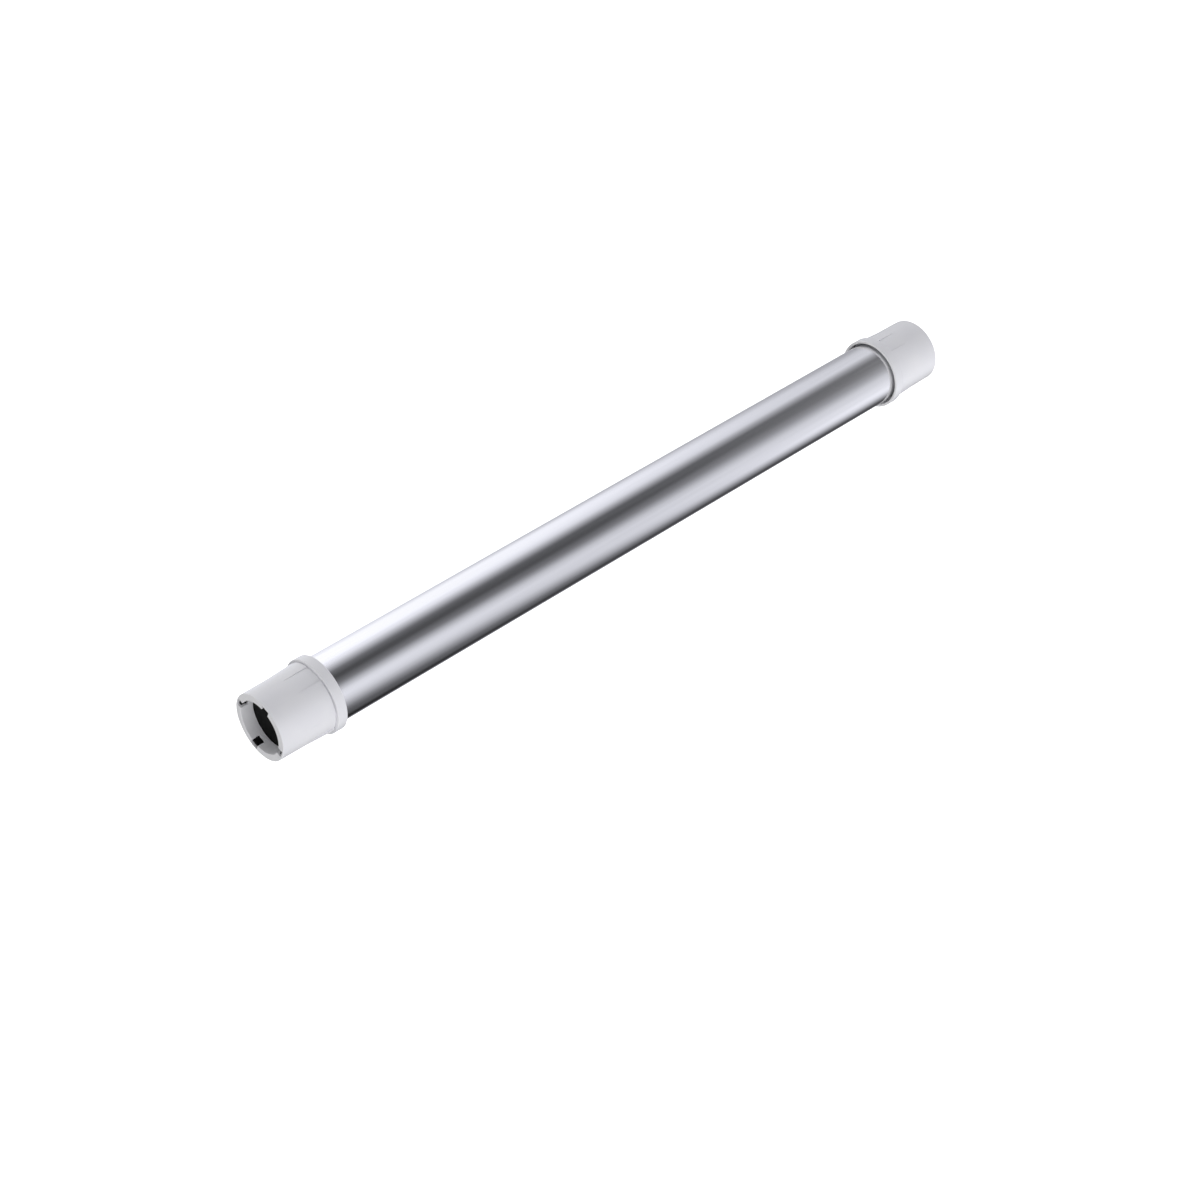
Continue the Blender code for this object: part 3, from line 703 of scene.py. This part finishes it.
def torsion_spring(name):
    """The wound wire: a tail along the shaft, a bend, the turns, a bend and a tail."""
    bend = math.atan2(SPRING_BEND, SPRING_COIL)
    turns = SPRING_TURNS - 2 * bend / math.tau
    start = SPRING_START + SPRING_PITCH * bend / math.tau
    end = SPRING_END - SPRING_PITCH * bend / math.tau
    bpy.ops.object.select_all(action="DESELECT")
    bpy.ops.mesh.primitive_circle_add(
        vertices=SPRING_SIDES,
        radius=SPRING_WIRE,
        location=(start, SPRING_COIL, 0),
    )
    spring = bpy.context.object
    spring.name = name
    settle(spring)
    winding = spring.modifiers.new("winding", "SCREW")
    winding.axis = "X"
    winding.angle = math.tau * turns
    winding.screw_offset = SPRING_PITCH * turns
    winding.steps = SPRING_STEPS * SPRING_TURNS
    winding.render_steps = winding.steps
    bpy.ops.object.modifier_apply(modifier=winding.name)
    spring.rotation_euler.x = bend
    settle(spring)

    def bend_out():
        for way, x, angle in ((-1, start, bend), (1, end, -bend)):
            pick("EDGE", lambda e: e.is_boundary and abs(e.verts[0].co.x - x) < 2 * SPRING_WIRE)
            outward = Vector((0, math.cos(angle), math.sin(angle)))
            middle = outward * SPRING_COIL + Vector((x + way * SPRING_BEND, 0, 0))
            bpy.ops.mesh.spin(
                steps=BEND_STEPS,
                angle=-math.pi / 2,
                center=middle,
                axis=way * outward,
            )
            tail = way * (SPRING_TAIL - SPRING_BEND)
            bpy.ops.mesh.extrude_edges_move(TRANSFORM_OT_translate={"value": (tail, 0, 0)})
            bpy.ops.mesh.edge_face_add()
        bpy.ops.mesh.select_all(action="SELECT")
        # Made consistent the usual way, this wire's normals point into it, so they are asked for
        # the other way round
        bpy.ops.mesh.normals_make_consistent(inside=True)

    edit(spring, bend_out)
    return spring


def tail_hole(x, length):
    """What a hole for the spring's tail takes away, at the coil's radius."""
    radius = SPRING_WIRE + GAP
    half = length / 2
    corners = [(-half, radius / 2), (-half, radius), (half, radius), (half, radius / 2)]
    hole = turned("hole", corners, False, SMALL_SEGMENTS // 2)
    hole.location = (x, SPRING_COIL, 0)
    return hole


def shaft_anchor(name):
    """The flange that holds the spring's still end, on a hub pinned to the shaft."""
    back = ANCHOR_X - ANCHOR_FLANGE
    end = back - ANCHOR_HUB_LENGTH
    anchor = turned(
        name,
        [
            (ANCHOR_X, BUSH_BORE, 0.2 * MM),
            (ANCHOR_X, 13.5 * MM, 0.5 * MM),
            (back, 13.5 * MM, 0.5 * MM),
            (back, ANCHOR_HUB, 0.5 * MM),
            (end, ANCHOR_HUB, 0.5 * MM),
            (end, BUSH_BORE, 0.3 * MM),
        ],
        segments=SMALL_SEGMENTS,
    )
    shape_with(anchor, tail_hole(back, ANCHOR_HUB_LENGTH), "DIFFERENCE")
    across = 2 * (ANCHOR_HUB + OVERRUN)
    hole = cross_rod("hole", ANCHOR_PIN_RADIUS + GAP, across, ANCHOR_PIN_X, 0.0)
    shape_with(anchor, hole, "DIFFERENCE")
    return anchor


def tube_carrier(name):
    """The plug that the spring's moving end turns, sliding along the tube's keys."""
    end = CARRIER_X + CARRIER_LENGTH
    radius = TUBE_BORE - GAP
    carrier = turned(
        name,
        [
            (CARRIER_X, BUSH_BORE, 0.3 * MM),
            (CARRIER_X, radius, 0.5 * MM),
            (end, radius, 0.5 * MM),
            (end, BUSH_BORE, 0.3 * MM),
        ],
    )
    cut_key_slots(carrier, CARRIER_X - OVERRUN, end + OVERRUN)
    shape_with(carrier, tail_hole(CARRIER_X, 2 * SPRING_TAIL), "DIFFERENCE")
    return carrier


def guide_sleeve(name):
    """The thin sleeve on the shaft, inside the spring."""
    start = SPRING_START + 1 * MM
    end = SPRING_END - 1 * MM
    radius = 7.5 * MM
    corners = [
        (start, BUSH_BORE, 0.2 * MM),
        (start, radius, 0.4 * MM),
        (end, radius, 0.4 * MM),
        (end, BUSH_BORE, 0.2 * MM),
    ]
    return turned(name, corners, segments=SMALL_SEGMENTS)


def retaining_ring(name):
    """The open ring that snaps into the shaft's groove."""
    inner = SHAFT_RADIUS - GROOVE + GAP
    outer = 7.5 * MM
    corners = [
        (RING_X - RING_HALF, inner, 0.1 * MM),
        (RING_X - RING_HALF, outer, 0.1 * MM),
        (RING_X + RING_HALF, outer, 0.1 * MM),
        (RING_X + RING_HALF, inner, 0.1 * MM),
    ]
    ring = turned(name, corners, segments=SMALL_SEGMENTS)
    mouth = RING_MOUTH / 2
    low = (RING_X - OVERRUN, 0, -mouth)
    shape_with(ring, block("mouth", low, (RING_X + OVERRUN, outer + OVERRUN, mouth)), "DIFFERENCE")
    return ring


# --- materials ------------------------------------------------------------------------------------


def linear(hex_colour):
    """An sRGB hex colour as linear red, green and blue, with alpha."""
    parts = [int(hex_colour[i : i + 2], 16) / 255 for i in (1, 3, 5)]
    return [c / 12.92 if c <= 0.04045 else ((c + 0.055) / 1.055) ** 2.4 for c in parts] + [1.0]


def add(tree, kind, inputs=None, **settings):
    """Adds a node with its settings, and gives its inputs their values or links."""
    node = tree.nodes.new(kind)
    for name, value in settings.items():
        setattr(node, name, value)
    for name, value in (inputs or {}).items():
        if isinstance(value, bpy.types.NodeSocket):
            tree.links.new(value, node.inputs[name])
        else:
            node.inputs[name].default_value = value
    return node


def start_material(name, **sockets):
    """A material with its shader's constant values set. Returns it, its tree and the shader."""
    material = bpy.data.materials.new(name)
    material.use_nodes = True
    tree = material.node_tree
    shader = tree.nodes["Principled BSDF"]
    for socket, value in sockets.items():
        shader.inputs[socket.replace("_", " ")].default_value = value
    return material, tree, shader


def vary(tree, shader, vector, size, detail, colours, roughness):
    """Lets colour and roughness wander between two values each, over patches of a real size."""
    # Nearly all of the noise lies between these two
    low, high = 0.3, 0.7
    noise = add(
        tree,
        "ShaderNodeTexNoise",
        {"Vector": vector, "Scale": 1 / size, "Detail": detail},
    )
    ramp = add(tree, "ShaderNodeValToRGB", {"Fac": noise.outputs["Fac"]})
    for element, place, colour in zip(ramp.color_ramp.elements, (low, high), colours):
        element.position = place
        element.color = linear(colour)
    tree.links.new(ramp.outputs["Color"], shader.inputs["Base Color"])
    spread = add(
        tree,
        "ShaderNodeMapRange",
        {
            "Value": noise.outputs["Fac"],
            "From Min": low,
            "From Max": high,
            "To Min": roughness[0],
            "To Max": roughness[1],
        },
    )
    tree.links.new(spread.outputs["Result"], shader.inputs["Roughness"])


def relief(tree, shader, vector, size, height):
    """A fine bump of grains of a real size and height."""
    noise = add(tree, "ShaderNodeTexNoise", {"Vector": vector, "Scale": 1 / size, "Detail": 3.0})
    bump = add(tree, "ShaderNodeBump", {"Height": noise.outputs["Fac"], "Distance": height})
    tree.links.new(bump.outputs["Normal"], shader.inputs["Normal"])


def object_place(tree, stretch=(1, 1, 1)):
    """A point's place on the object, in metres, with each direction stretched by a factor."""
    place = add(tree, "ShaderNodeTexCoord")
    mapping = add(
        tree,
        "ShaderNodeMapping",
        {"Vector": place.outputs["Object"], "Scale": [1 / s for s in stretch]},
    )
    return mapping.outputs["Vector"]


def moulded_abs(name, light, dark):
    """Injection moulded ABS: a satin skin with the mould's faint grain and a trace of flow."""
    material, tree, shader = start_material(name, IOR=1.54)
    vary(tree, shader, object_place(tree), 14 * MM, 2.0, (dark, light), (0.18, 0.24))
    # The mould's spark-eroded grain is about 0.1 mm, drawn at 0.25 mm so that it shows close up
    relief(tree, shader, object_place(tree), 0.25 * MM, 0.002 * MM)
    return material


def drawn_metal(name, light, dark, roughness):
    """Metal drawn through a die: fine lines all along X, and gloss that wanders a little."""
    material, tree, shader = start_material(name, Metallic=1.0)
    vary(tree, shader, object_place(tree, (60, 1, 1)), 2.5 * MM, 2.0, (dark, light), roughness)
    # Die lines are 0.02 to 0.1 mm wide, drawn at 0.35 mm so that they show at all
    relief(tree, shader, object_place(tree, (400, 1, 1)), 0.35 * MM, 0.0004 * MM)
    return material


def turned_acetal(name):
    """Uncoloured acetal: waxy and milky, so light spreads a little below its surface."""
    material, tree, shader = start_material(
        name, IOR=1.48, Subsurface_Weight=0.25, Subsurface_Scale=0.8 * MM
    )
    vary(tree, shader, object_place(tree), 6 * MM, 2.0, ("#DEDACD", "#EAE6DA"), (0.26, 0.34))
    relief(tree, shader, object_place(tree), 0.3 * MM, 0.0015 * MM)
    return material


def filled_nylon(name):
    """Glass-filled grey nylon: short fibres under the skin leave it mottled and slightly rough."""
    material, tree, shader = start_material(name, IOR=1.53)
    place = object_place(tree, (3, 1, 1))
    vary(tree, shader, place, 0.9 * MM, 4.0, ("#74777C", "#85888D"), (0.46, 0.6))
    relief(tree, shader, object_place(tree), 0.4 * MM, 0.004 * MM)
    return material


def matt_nylon(name):
    """Black nylon with a coarse matt mould texture, which swallows most of the light."""
    material, tree, shader = start_material(name, IOR=1.5, Specular_IOR_Level=0.1)
    vary(tree, shader, object_place(tree), 2 * MM, 3.0, ("#070708", "#0C0C0D"), (0.55, 0.68))
    relief(tree, shader, object_place(tree), 0.3 * MM, 0.004 * MM)
    return material


def oiled_spring_steel(name):
    """Oil-tempered spring steel: blue-black scale under a film of oil, which a coat stands for."""
    material, tree, shader = start_material(
        name, Metallic=1.0, Coat_Weight=0.3, Coat_Roughness=0.12
    )
    vary(tree, shader, object_place(tree), 3 * MM, 3.0, ("#62666C", "#7E8287"), (0.28, 0.42))
    relief(tree, shader, object_place(tree), 0.3 * MM, 0.001 * MM)
    return material


MATERIALS = {
    "white_plastic": moulded_abs("moulded_white_abs", "#F6F6FB", "#F3F3F9"),
    "black_plastic": matt_nylon("matt_black_nylon"),
    "grey_plastic": filled_nylon("glass_filled_grey_nylon"),
    "natural_plastic": turned_acetal("natural_acetal"),
    "aluminium": drawn_metal("bright_drawn_aluminium", "#F0F0F1", "#ECECED", (0.13, 0.16)),
    "bright_steel": drawn_metal("bright_drawn_steel", "#C3C5C8", "#B6B8BC", (0.24, 0.32)),
    "spring_steel": oiled_spring_steel("oiled_spring_steel"),
}


# --- putting the pieces on their bodies -----------------------------------------------------------

BODY_OF = {node: body for body, nodes in record["behaviour"]["bodies"].items() for node in nodes}
SLOT_OF = {row["node"]: row["material_slot"] for row in record["subparts"]}


def stand_for(node, piece):
    """Finishes a piece and lets it stand for the CAD node that it was made after."""
    smooth(piece)
    settle(piece)
    piece.data.materials.clear()
    piece.data.materials.append(MATERIALS[SLOT_OF[node]])
    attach(piece, BODY_OF[node])
    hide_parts(node)


END_PIECES = (
    ("adapter_shell", "shell", adapter_shell),
    ("socket_core", "core", socket_core),
    ("core_pin", "dowel", core_dowel),
    ("bearing_bush", "bush", bearing_bush),
    ("tube_plug", "plug", tube_plug),
)

for node, word, make in END_PIECES:
    left = make(f"left_{word}", SIDES["left"])
    right = mirrored(left, f"right_{word}")
    stand_for(f"left_{node}", left)
    stand_for(f"right_{node}", right)

thrust = washer("left_washer", -1, 32.3 * MM, 33.3 * MM, BUSH_BORE, 8.5 * MM, 0.15 * MM)
anchor_pin = cross_rod(
    "anchor_dowel",
    ANCHOR_PIN_RADIUS,
    ANCHOR_PIN_LENGTH,
    ANCHOR_PIN_X,
    0.0,
    0.2 * MM,
)
stand_for("left_thrust_washer", thrust)
stand_for("right_wave_washer", wave_washer("right_wave", 1))
stand_for("roller_tube", roller_tube("drawn_tube"))
stand_for("fixed_shaft", fixed_shaft("shaft"))
stand_for("torsion_spring", torsion_spring("wound_spring"))
stand_for("spring_guide_sleeve", guide_sleeve("guide_sleeve"))
stand_for("spring_shaft_anchor", shaft_anchor("still_anchor"))
stand_for("spring_anchor_pin", anchor_pin)
stand_for("spring_tube_carrier", tube_carrier("turning_carrier"))
stand_for("carrier_retaining_ring", retaining_ring("open_ring"))


# --- floor, light and camera ----------------------------------------------------------------------

FLOOR_DROP = 0.25
FLOOR_SIZE = 12.0
CAMERA_PLACE = Vector((-0.749476, -0.766530, 0.806102))
CAMERA_YAW = math.radians(-43.780)
CAMERA_TILT = math.radians(51.106)
CAMERA_LENS = 70.91
SENSOR_WIDTH = 36.0
SKY_STRENGTH = 1.24
COOL_LIGHT = "#F5F6FF"
WARM_LIGHT = "#FFFFFC"

# The light round the X axis. Each band holds for one share along X of a light's direction, and
# gives brightness by degrees from +Y towards +Z. Between bands the light blends.
LIGHT_BANDS = (
    (
        -0.4,
        WARM_LIGHT,
        (
            (-180, 1.07), (-130, 0.78), (-90, 0.4), (-48, 0.05), (-10, 0.7), (30, 0.84),
            (60, 0.37), (92, 0.14), (125, 0.28), (155, 0.74),
        ),
    ),
    (
        0.05,
        WARM_LIGHT,
        (
            (-180, 1.45), (-130, 1), (-90, 0.5), (-48, 0.1), (-10, 0.9), (30, 1.1), (60, 0.6),
            (92, 0.25), (125, 0.5), (155, 1.15),
        ),
    ),
    (
        0.4,
        COOL_LIGHT,
        (
            (-180, 0.79), (-155, 0.38), (-135, 0.11), (-112, 0.07), (-75, 0.1), (-50, 1),
            (-20, 0.85), (5, 1.05), (50, 1.05), (70, 0.7), (90, 0.27), (106, 0.09), (122, 0.08),
            (140, 0.24), (158, 0.66), (172, 0.79),
        ),
    ),
    (
        0.54,
        COOL_LIGHT,
        (
            (-180, 0.64), (-152, 0.56), (-125, 0.24), (-105, 0.1), (-78, 0.1), (-50, 0.6),
            (-15, 0.5), (7, 0.8), (27, 0.92), (58, 0.8), (72, 0.58), (91, 0.17), (108, 0.07),
            (125, 0.09), (143, 0.2), (160, 0.46), (173, 0.61),
        ),
    ),
    (
        0.66,
        COOL_LIGHT,
        (
            (-180, 0.64), (-150, 0.82), (-135, 0.88), (-115, 0.5), (-95, 0.12), (-75, 0.1),
            (-48, 0.35), (3, 0.36), (25, 0.49), (57, 0.6), (70, 0.44), (90, 0.16), (106, 0.13),
            (128, 0.18), (150, 0.35), (165, 0.52),
        ),
    ),
    (
        0.85,
        WARM_LIGHT,
        (
            (-180, 2.3), (-120, 2.3), (-60, 2.1), (0, 2.1), (60, 2), (110, 2), (150, 2.3),
        ),
    ),
)


def white_floor():
    """A plain white floor, well below the unit and so evenly lit that it shows no shadow."""
    bpy.ops.object.select_all(action="DESELECT")
    bpy.ops.mesh.primitive_plane_add(size=FLOOR_SIZE, location=(0, 0, -FLOOR_DROP))
    floor = bpy.context.object
    floor.name = "floor"
    material, tree, shader = start_material("white_floor", Roughness=1.0)
    shader.inputs["Base Color"].default_value = linear("#FFFFFF")
    shader.inputs["Emission Color"].default_value = linear("#FFFFFF")
    shader.inputs["Emission Strength"].default_value = 1.0
    floor.data.materials.append(material)
    floor.visible_diffuse = False
    floor.visible_glossy = False
    floor.visible_shadow = False


def light_band(tree, turn, tint, stops):
    """Brightness round the X axis, from its stops, in one tint. It ends where it started."""
    ramp = add(tree, "ShaderNodeValToRGB", {"Fac": turn})
    ramp.color_ramp.interpolation = "CARDINAL"
    elements = ramp.color_ramp.elements
    while len(elements) <= len(stops):
        elements.new(0.5)
    for element, (degrees, level) in zip(elements, (*stops, (180, stops[0][1]))):
        element.position = (degrees + 180) / 360
        element.color = [level * part for part in linear(tint)[:3]] + [1.0]
    return ramp.outputs["Color"]


def soft_studio():
    """Soft light from long panels behind and in front, set off by the dark gaps between them."""
    world = bpy.data.worlds.new("studio")
    bpy.context.scene.world = world
    world.use_nodes = True
    tree = world.node_tree
    tree.nodes.clear()
    place = add(tree, "ShaderNodeTexCoord")
    parts = add(tree, "ShaderNodeSeparateXYZ", {"Vector": place.outputs["Generated"]})
    rise_and_run = {0: parts.outputs["Z"], 1: parts.outputs["Y"]}
    angle = add(tree, "ShaderNodeMath", rise_and_run, operation="ARCTAN2")
    turn = add(
        tree,
        "ShaderNodeMapRange",
        {"Value": angle.outputs[0], "From Min": -math.pi, "From Max": math.pi},
    ).outputs["Result"]
    colour = None
    for share, tint, stops in LIGHT_BANDS:
        band = light_band(tree, turn, tint, stops)
        if colour is None:
            colour = band
        else:
            between = {"Value": parts.outputs["X"], "From Min": last_share, "From Max": share}
            step = add(tree, "ShaderNodeMapRange", between)
            # Of a Mix node's sockets, the colours are inputs 6 and 7 and output 2
            inputs = {"Factor": step.outputs["Result"], 6: colour, 7: band}
            colour = add(tree, "ShaderNodeMix", inputs, data_type="RGBA").outputs[2]
        last_share = share
    light = add(tree, "ShaderNodeBackground", {"Color": colour, "Strength": SKY_STRENGTH})
    plain = add(tree, "ShaderNodeBackground", {"Color": linear("#FFFFFF")})
    seen = add(tree, "ShaderNodeLightPath")
    fac = seen.outputs["Is Camera Ray"]
    chosen = add(tree, "ShaderNodeMixShader", {0: fac, 1: light.outputs[0], 2: plain.outputs[0]})
    add(tree, "ShaderNodeOutputWorld", {"Surface": chosen.outputs[0]})


def camera():
    """The camera, above and in front of the left end."""
    data = bpy.data.cameras.new("camera")
    data.lens = CAMERA_LENS
    data.sensor_width = SENSOR_WIDTH
    view = bpy.data.objects.new("camera", data)
    view.location = CAMERA_PLACE
    view.rotation_euler = (CAMERA_TILT, 0, CAMERA_YAW)
    bpy.context.scene.collection.objects.link(view)
    bpy.context.scene.camera = view


white_floor()
soft_studio()
camera()
bpy.context.scene.view_settings.view_transform = "Standard"
